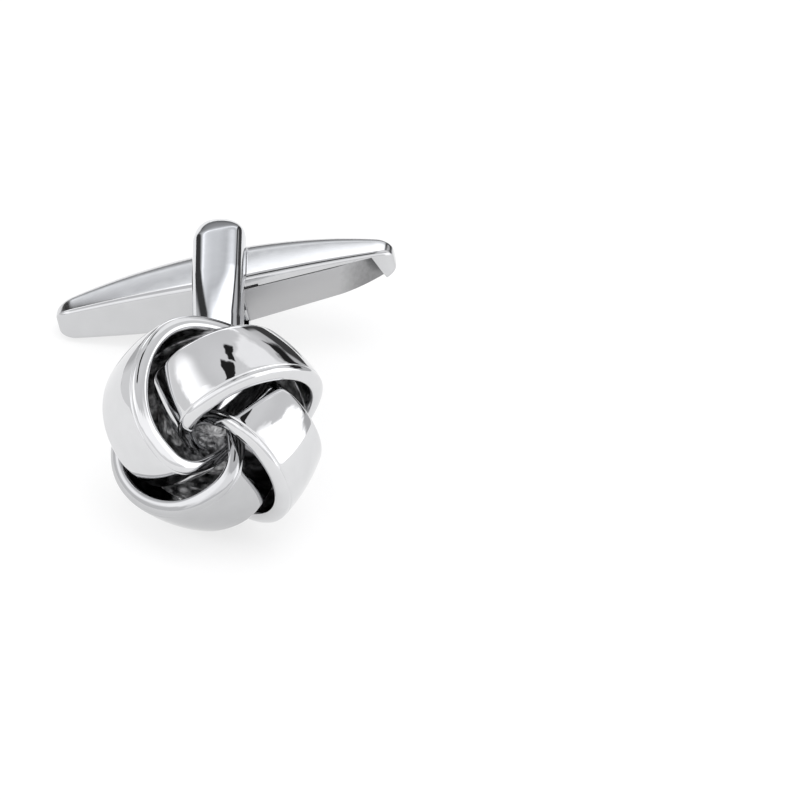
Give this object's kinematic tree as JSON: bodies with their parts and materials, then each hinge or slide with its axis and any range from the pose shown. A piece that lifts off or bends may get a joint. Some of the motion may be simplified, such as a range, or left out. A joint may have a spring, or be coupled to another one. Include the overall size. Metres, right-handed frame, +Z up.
{
  "type": "cufflink",
  "caption": "Knot cufflink: interlaced polished metal ribbons round a dark core on a back plate, with a forked post and a swivelling toggle bar that turns in line to pass a buttonhole.",
  "frame": {"origin": "on the table, at the centre of the bounding box's bottom", "axes": "+Z up with the cufflink lying as it rests on a table; +Y runs from the knot towards the toggle bar; +X lies along the toggle bar, which slopes up to +X"},
  "size_m": [0.0196, 0.028, 0.0119],
  "materials": {
    "polished_plate": "mirror polished plating",
    "dark_core": "rough, darkened casting",
    "steel": "turned steel",
    "spring_steel": "satin spring strip"
  },
  "bodies": {
    "head": {"knot_band_upper": "polished_plate", "knot_band_right": "polished_plate", "knot_band_lower": "polished_plate", "knot_band_left": "polished_plate", "knot_core": "dark_core", "back_plate": "polished_plate", "post_yoke": "polished_plate", "pivot_pin": "steel", "detent_cam": "steel"},
    "toggle": {"toggle_bar": "polished_plate", "leaf_spring": "spring_steel"}
  },
  "joints": [
    {"name": "toggle_swivel", "type": "hinge", "parent": "head", "child": "toggle", "pos_m": [0.00022, 0.00884, 0.00335], "axis": [-0.255, 0.1402, 0.9567], "range_deg": [-90, 90]}
  ]
}
